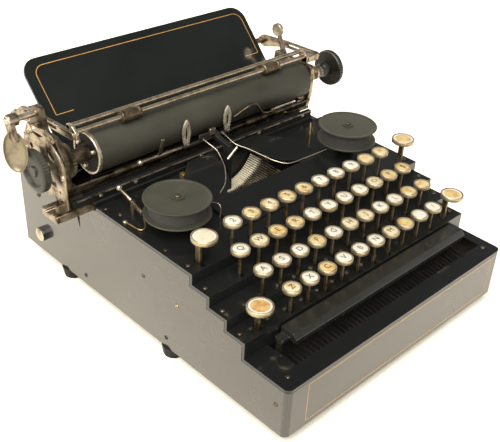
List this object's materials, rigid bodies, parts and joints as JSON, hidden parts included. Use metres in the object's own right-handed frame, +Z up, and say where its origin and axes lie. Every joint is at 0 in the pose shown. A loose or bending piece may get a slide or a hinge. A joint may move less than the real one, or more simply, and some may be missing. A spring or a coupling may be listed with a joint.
{
  "type": "typewriter",
  "caption": "Black enamelled flatbed typewriter with a stepped round-key keyboard, open type basket, two ribbon spools and a sliding carriage with paper table.",
  "frame": {"origin": "middle of the footprint of the whole typewriter, at the underside of its feet", "axes": "+X to the typist's right along the platen, +Y from the keyboard to the rear, +Z up"},
  "size_m": [0.3548, 0.3366, 0.176],
  "materials": {
    "body_enamel": "deep gloss black enamel, slightly dulled by age",
    "deck_enamel": "deep gloss black enamel",
    "base_steel": "black painted iron, dull, with dark rubber feet",
    "typebar_steel": "aged steel",
    "way_steel": "dark oiled steel",
    "carriage_nickel": "nickel plate, yellowed and worn",
    "platen_rubber": "hard black rubber, satin",
    "lever_nickel": "polished nickel plate, yellowed",
    "table_enamel": "deep gloss black enamel with a fine gold line",
    "bail_nickel": "polished nickel plate, yellowed",
    "spool_enamel": "satin black enamel",
    "key_nickel": "nickel-rimmed key with an ivory card under glass",
    "bar_lacquer": "black lacquer on wood",
    "drum_steel": "dark oiled steel"
  },
  "bodies": {
    "base": {"frame": "body_enamel", "foot_frame": "base_steel", "keyboard_deck": "deck_enamel", "type_basket": "typebar_steel", "carriage_way": "way_steel"},
    "carriage": {"carriage_frame": "carriage_nickel", "paper_table": "table_enamel"},
    "platen": {"platen": "platen_rubber"},
    "return_lever": {"return_lever": "lever_nickel"},
    "paper_bail": {"paper_bail": "bail_nickel"},
    "release_lever": {"release_lever": "lever_nickel"},
    "left_spool": {"left_spool": "spool_enamel"},
    "right_spool": {"right_spool": "spool_enamel"},
    "shift_keys": {"shift_keys": "key_nickel"},
    "margin_key": {"margin_key": "key_nickel"},
    "backspace_key": {"backspace_key": "key_nickel"},
    "space_bar": {"space_bar": "bar_lacquer"},
    "spring_drum": {"spring_drum": "drum_steel"},
    "key_bottom_1": {"key_bottom_1": "key_nickel"},
    "key_bottom_2": {"key_bottom_2": "key_nickel"},
    "key_bottom_3": {"key_bottom_3": "key_nickel"},
    "key_bottom_4": {"key_bottom_4": "key_nickel"},
    "key_bottom_5": {"key_bottom_5": "key_nickel"},
    "key_bottom_6": {"key_bottom_6": "key_nickel"},
    "key_bottom_7": {"key_bottom_7": "key_nickel"},
    "key_bottom_8": {"key_bottom_8": "key_nickel"},
    "key_bottom_9": {"key_bottom_9": "key_nickel"},
    "key_bottom_10": {"key_bottom_10": "key_nickel"},
    "key_home_1": {"key_home_1": "key_nickel"},
    "key_home_2": {"key_home_2": "key_nickel"},
    "key_home_3": {"key_home_3": "key_nickel"},
    "key_home_4": {"key_home_4": "key_nickel"},
    "key_home_5": {"key_home_5": "key_nickel"},
    "key_home_6": {"key_home_6": "key_nickel"},
    "key_home_7": {"key_home_7": "key_nickel"},
    "key_home_8": {"key_home_8": "key_nickel"},
    "key_home_9": {"key_home_9": "key_nickel"},
    "key_home_10": {"key_home_10": "key_nickel"},
    "key_home_11": {"key_home_11": "key_nickel"},
    "key_upper_1": {"key_upper_1": "key_nickel"},
    "key_upper_2": {"key_upper_2": "key_nickel"},
    "key_upper_3": {"key_upper_3": "key_nickel"},
    "key_upper_4": {"key_upper_4": "key_nickel"},
    "key_upper_5": {"key_upper_5": "key_nickel"},
    "key_upper_6": {"key_upper_6": "key_nickel"},
    "key_upper_7": {"key_upper_7": "key_nickel"},
    "key_upper_8": {"key_upper_8": "key_nickel"},
    "key_upper_9": {"key_upper_9": "key_nickel"},
    "key_upper_10": {"key_upper_10": "key_nickel"},
    "key_upper_11": {"key_upper_11": "key_nickel"},
    "key_number_1": {"key_number_1": "key_nickel"},
    "key_number_2": {"key_number_2": "key_nickel"},
    "key_number_3": {"key_number_3": "key_nickel"},
    "key_number_4": {"key_number_4": "key_nickel"},
    "key_number_5": {"key_number_5": "key_nickel"},
    "key_number_6": {"key_number_6": "key_nickel"},
    "key_number_7": {"key_number_7": "key_nickel"},
    "key_number_8": {"key_number_8": "key_nickel"},
    "key_number_9": {"key_number_9": "key_nickel"},
    "key_number_10": {"key_number_10": "key_nickel"}
  },
  "joints": [
    {"name": "carriage_slide", "type": "slide", "parent": "base", "child": "carriage", "axis": [1, 0, 0], "range_m": [-0.112, 0.098]},
    {"name": "platen_turn", "type": "hinge", "parent": "carriage", "child": "platen", "pos_m": [0.01136, 0.07666, 0.1296], "axis": [1, 0, 0], "continuous": true},
    {"name": "return_lever_pull", "type": "hinge", "parent": "carriage", "child": "return_lever", "pos_m": [-0.16764, 0.08866, 0.17], "axis": [1, 0, 0], "range_deg": [-25, 0], "stiffness_Nm_per_rad": 0.05, "springref_deg": 11.46},
    {"name": "paper_bail_lift", "type": "hinge", "parent": "carriage", "child": "paper_bail", "pos_m": [0.01136, 0.14766, 0.142], "axis": [1, 0, 0], "range_deg": [-40, 0]},
    {"name": "release_lever_pull", "type": "hinge", "parent": "carriage", "child": "release_lever", "pos_m": [0.14066, 0.10866, 0.141], "axis": [1, 0, 0], "range_deg": [0, 25]},
    {"name": "left_spool_turn", "type": "hinge", "parent": "base", "child": "left_spool", "pos_m": [-0.09414, -0.01164, 0.116], "axis": [0, 0, 1], "continuous": true},
    {"name": "right_spool_turn", "type": "hinge", "parent": "base", "child": "right_spool", "pos_m": [0.10286, -0.01164, 0.116], "axis": [0, 0, 1], "continuous": true},
    {"name": "spring_drum_turn", "type": "hinge", "parent": "base", "child": "spring_drum", "pos_m": [-0.07964, 0.14066, 0.054], "axis": [0, 1, 0], "range_deg": [-300, 300]},
    {"name": "shift_press", "type": "hinge", "parent": "base", "child": "shift_keys", "pos_m": [0.00436, 0.05766, 0.058], "axis": [1, 0, 0], "range_deg": [0, 3.28], "stiffness_Nm_per_rad": 1.5, "springref_deg": -11.46},
    {"name": "margin_key_press", "type": "hinge", "parent": "base", "child": "margin_key", "pos_m": [0.00436, 0.05766, 0.058], "axis": [1, 0, 0], "range_deg": [0, 4.91], "stiffness_Nm_per_rad": 0.7, "springref_deg": -11.46},
    {"name": "backspace_key_press", "type": "hinge", "parent": "base", "child": "backspace_key", "pos_m": [0.00436, 0.05766, 0.058], "axis": [1, 0, 0], "range_deg": [0, 4.91], "stiffness_Nm_per_rad": 0.7, "springref_deg": -11.46},
    {"name": "space_bar_press", "type": "hinge", "parent": "base", "child": "space_bar", "pos_m": [0.00436, 0.05766, 0.058], "axis": [1, 0, 0], "range_deg": [0, 2.4], "stiffness_Nm_per_rad": 0.7, "springref_deg": -11.46},
    {"name": "key_bottom_1_press", "type": "hinge", "parent": "base", "child": "key_bottom_1", "pos_m": [0.00436, 0.05766, 0.058], "axis": [1, 0, 0], "range_deg": [0, 3.24], "stiffness_Nm_per_rad": 0.5, "springref_deg": -11.46},
    {"name": "key_bottom_2_press", "type": "hinge", "parent": "base", "child": "key_bottom_2", "pos_m": [0.00436, 0.05766, 0.058], "axis": [1, 0, 0], "range_deg": [0, 3.24], "stiffness_Nm_per_rad": 0.5, "springref_deg": -11.46},
    {"name": "key_bottom_3_press", "type": "hinge", "parent": "base", "child": "key_bottom_3", "pos_m": [0.00436, 0.05766, 0.058], "axis": [1, 0, 0], "range_deg": [0, 3.24], "stiffness_Nm_per_rad": 0.5, "springref_deg": -11.46},
    {"name": "key_bottom_4_press", "type": "hinge", "parent": "base", "child": "key_bottom_4", "pos_m": [0.00436, 0.05766, 0.058], "axis": [1, 0, 0], "range_deg": [0, 3.24], "stiffness_Nm_per_rad": 0.5, "springref_deg": -11.46},
    {"name": "key_bottom_5_press", "type": "hinge", "parent": "base", "child": "key_bottom_5", "pos_m": [0.00436, 0.05766, 0.058], "axis": [1, 0, 0], "range_deg": [0, 3.24], "stiffness_Nm_per_rad": 0.5, "springref_deg": -11.46},
    {"name": "key_bottom_6_press", "type": "hinge", "parent": "base", "child": "key_bottom_6", "pos_m": [0.00436, 0.05766, 0.058], "axis": [1, 0, 0], "range_deg": [0, 3.24], "stiffness_Nm_per_rad": 0.5, "springref_deg": -11.46},
    {"name": "key_bottom_7_press", "type": "hinge", "parent": "base", "child": "key_bottom_7", "pos_m": [0.00436, 0.05766, 0.058], "axis": [1, 0, 0], "range_deg": [0, 3.24], "stiffness_Nm_per_rad": 0.5, "springref_deg": -11.46},
    {"name": "key_bottom_8_press", "type": "hinge", "parent": "base", "child": "key_bottom_8", "pos_m": [0.00436, 0.05766, 0.058], "axis": [1, 0, 0], "range_deg": [0, 3.24], "stiffness_Nm_per_rad": 0.5, "springref_deg": -11.46},
    {"name": "key_bottom_9_press", "type": "hinge", "parent": "base", "child": "key_bottom_9", "pos_m": [0.00436, 0.05766, 0.058], "axis": [1, 0, 0], "range_deg": [0, 3.24], "stiffness_Nm_per_rad": 0.5, "springref_deg": -11.46},
    {"name": "key_bottom_10_press", "type": "hinge", "parent": "base", "child": "key_bottom_10", "pos_m": [0.00436, 0.05766, 0.058], "axis": [1, 0, 0], "range_deg": [0, 3.24], "stiffness_Nm_per_rad": 0.5, "springref_deg": -11.46},
    {"name": "key_home_1_press", "type": "hinge", "parent": "base", "child": "key_home_1", "pos_m": [0.00436, 0.05766, 0.058], "axis": [1, 0, 0], "range_deg": [0, 3.66], "stiffness_Nm_per_rad": 0.5, "springref_deg": -11.46},
    {"name": "key_home_2_press", "type": "hinge", "parent": "base", "child": "key_home_2", "pos_m": [0.00436, 0.05766, 0.058], "axis": [1, 0, 0], "range_deg": [0, 3.66], "stiffness_Nm_per_rad": 0.5, "springref_deg": -11.46},
    {"name": "key_home_3_press", "type": "hinge", "parent": "base", "child": "key_home_3", "pos_m": [0.00436, 0.05766, 0.058], "axis": [1, 0, 0], "range_deg": [0, 3.66], "stiffness_Nm_per_rad": 0.5, "springref_deg": -11.46},
    {"name": "key_home_4_press", "type": "hinge", "parent": "base", "child": "key_home_4", "pos_m": [0.00436, 0.05766, 0.058], "axis": [1, 0, 0], "range_deg": [0, 3.66], "stiffness_Nm_per_rad": 0.5, "springref_deg": -11.46},
    {"name": "key_home_5_press", "type": "hinge", "parent": "base", "child": "key_home_5", "pos_m": [0.00436, 0.05766, 0.058], "axis": [1, 0, 0], "range_deg": [0, 3.66], "stiffness_Nm_per_rad": 0.5, "springref_deg": -11.46},
    {"name": "key_home_6_press", "type": "hinge", "parent": "base", "child": "key_home_6", "pos_m": [0.00436, 0.05766, 0.058], "axis": [1, 0, 0], "range_deg": [0, 3.66], "stiffness_Nm_per_rad": 0.5, "springref_deg": -11.46},
    {"name": "key_home_7_press", "type": "hinge", "parent": "base", "child": "key_home_7", "pos_m": [0.00436, 0.05766, 0.058], "axis": [1, 0, 0], "range_deg": [0, 3.66], "stiffness_Nm_per_rad": 0.5, "springref_deg": -11.46},
    {"name": "key_home_8_press", "type": "hinge", "parent": "base", "child": "key_home_8", "pos_m": [0.00436, 0.05766, 0.058], "axis": [1, 0, 0], "range_deg": [0, 3.66], "stiffness_Nm_per_rad": 0.5, "springref_deg": -11.46},
    {"name": "key_home_9_press", "type": "hinge", "parent": "base", "child": "key_home_9", "pos_m": [0.00436, 0.05766, 0.058], "axis": [1, 0, 0], "range_deg": [0, 3.66], "stiffness_Nm_per_rad": 0.5, "springref_deg": -11.46},
    {"name": "key_home_10_press", "type": "hinge", "parent": "base", "child": "key_home_10", "pos_m": [0.00436, 0.05766, 0.058], "axis": [1, 0, 0], "range_deg": [0, 3.66], "stiffness_Nm_per_rad": 0.5, "springref_deg": -11.46},
    {"name": "key_home_11_press", "type": "hinge", "parent": "base", "child": "key_home_11", "pos_m": [0.00436, 0.05766, 0.058], "axis": [1, 0, 0], "range_deg": [0, 3.66], "stiffness_Nm_per_rad": 0.5, "springref_deg": -11.46},
    {"name": "key_upper_1_press", "type": "hinge", "parent": "base", "child": "key_upper_1", "pos_m": [0.00436, 0.05766, 0.058], "axis": [1, 0, 0], "range_deg": [0, 4.17], "stiffness_Nm_per_rad": 0.5, "springref_deg": -11.46},
    {"name": "key_upper_2_press", "type": "hinge", "parent": "base", "child": "key_upper_2", "pos_m": [0.00436, 0.05766, 0.058], "axis": [1, 0, 0], "range_deg": [0, 4.17], "stiffness_Nm_per_rad": 0.5, "springref_deg": -11.46},
    {"name": "key_upper_3_press", "type": "hinge", "parent": "base", "child": "key_upper_3", "pos_m": [0.00436, 0.05766, 0.058], "axis": [1, 0, 0], "range_deg": [0, 4.17], "stiffness_Nm_per_rad": 0.5, "springref_deg": -11.46},
    {"name": "key_upper_4_press", "type": "hinge", "parent": "base", "child": "key_upper_4", "pos_m": [0.00436, 0.05766, 0.058], "axis": [1, 0, 0], "range_deg": [0, 4.17], "stiffness_Nm_per_rad": 0.5, "springref_deg": -11.46},
    {"name": "key_upper_5_press", "type": "hinge", "parent": "base", "child": "key_upper_5", "pos_m": [0.00436, 0.05766, 0.058], "axis": [1, 0, 0], "range_deg": [0, 4.17], "stiffness_Nm_per_rad": 0.5, "springref_deg": -11.46},
    {"name": "key_upper_6_press", "type": "hinge", "parent": "base", "child": "key_upper_6", "pos_m": [0.00436, 0.05766, 0.058], "axis": [1, 0, 0], "range_deg": [0, 4.17], "stiffness_Nm_per_rad": 0.5, "springref_deg": -11.46},
    {"name": "key_upper_7_press", "type": "hinge", "parent": "base", "child": "key_upper_7", "pos_m": [0.00436, 0.05766, 0.058], "axis": [1, 0, 0], "range_deg": [0, 4.17], "stiffness_Nm_per_rad": 0.5, "springref_deg": -11.46},
    {"name": "key_upper_8_press", "type": "hinge", "parent": "base", "child": "key_upper_8", "pos_m": [0.00436, 0.05766, 0.058], "axis": [1, 0, 0], "range_deg": [0, 4.17], "stiffness_Nm_per_rad": 0.5, "springref_deg": -11.46},
    {"name": "key_upper_9_press", "type": "hinge", "parent": "base", "child": "key_upper_9", "pos_m": [0.00436, 0.05766, 0.058], "axis": [1, 0, 0], "range_deg": [0, 4.17], "stiffness_Nm_per_rad": 0.5, "springref_deg": -11.46},
    {"name": "key_upper_10_press", "type": "hinge", "parent": "base", "child": "key_upper_10", "pos_m": [0.00436, 0.05766, 0.058], "axis": [1, 0, 0], "range_deg": [0, 4.17], "stiffness_Nm_per_rad": 0.5, "springref_deg": -11.46},
    {"name": "key_upper_11_press", "type": "hinge", "parent": "base", "child": "key_upper_11", "pos_m": [0.00436, 0.05766, 0.058], "axis": [1, 0, 0], "range_deg": [0, 4.17], "stiffness_Nm_per_rad": 0.5, "springref_deg": -11.46},
    {"name": "key_number_1_press", "type": "hinge", "parent": "base", "child": "key_number_1", "pos_m": [0.00436, 0.05766, 0.058], "axis": [1, 0, 0], "range_deg": [0, 4.85], "stiffness_Nm_per_rad": 0.5, "springref_deg": -11.46},
    {"name": "key_number_2_press", "type": "hinge", "parent": "base", "child": "key_number_2", "pos_m": [0.00436, 0.05766, 0.058], "axis": [1, 0, 0], "range_deg": [0, 4.85], "stiffness_Nm_per_rad": 0.5, "springref_deg": -11.46},
    {"name": "key_number_3_press", "type": "hinge", "parent": "base", "child": "key_number_3", "pos_m": [0.00436, 0.05766, 0.058], "axis": [1, 0, 0], "range_deg": [0, 4.85], "stiffness_Nm_per_rad": 0.5, "springref_deg": -11.46},
    {"name": "key_number_4_press", "type": "hinge", "parent": "base", "child": "key_number_4", "pos_m": [0.00436, 0.05766, 0.058], "axis": [1, 0, 0], "range_deg": [0, 4.85], "stiffness_Nm_per_rad": 0.5, "springref_deg": -11.46},
    {"name": "key_number_5_press", "type": "hinge", "parent": "base", "child": "key_number_5", "pos_m": [0.00436, 0.05766, 0.058], "axis": [1, 0, 0], "range_deg": [0, 4.85], "stiffness_Nm_per_rad": 0.5, "springref_deg": -11.46},
    {"name": "key_number_6_press", "type": "hinge", "parent": "base", "child": "key_number_6", "pos_m": [0.00436, 0.05766, 0.058], "axis": [1, 0, 0], "range_deg": [0, 4.85], "stiffness_Nm_per_rad": 0.5, "springref_deg": -11.46},
    {"name": "key_number_7_press", "type": "hinge", "parent": "base", "child": "key_number_7", "pos_m": [0.00436, 0.05766, 0.058], "axis": [1, 0, 0], "range_deg": [0, 4.85], "stiffness_Nm_per_rad": 0.5, "springref_deg": -11.46},
    {"name": "key_number_8_press", "type": "hinge", "parent": "base", "child": "key_number_8", "pos_m": [0.00436, 0.05766, 0.058], "axis": [1, 0, 0], "range_deg": [0, 4.85], "stiffness_Nm_per_rad": 0.5, "springref_deg": -11.46},
    {"name": "key_number_9_press", "type": "hinge", "parent": "base", "child": "key_number_9", "pos_m": [0.00436, 0.05766, 0.058], "axis": [1, 0, 0], "range_deg": [0, 4.85], "stiffness_Nm_per_rad": 0.5, "springref_deg": -11.46},
    {"name": "key_number_10_press", "type": "hinge", "parent": "base", "child": "key_number_10", "pos_m": [0.00436, 0.05766, 0.058], "axis": [1, 0, 0], "range_deg": [0, 4.85], "stiffness_Nm_per_rad": 0.5, "springref_deg": -11.46}
  ],
  "couplings": [
    {"joint": "spring_drum_turn", "follows": "carriage_slide", "rad_per_m": 45.455},
    {"joint": "right_spool_turn", "follows": "left_spool_turn", "ratio": 1}
  ]
}
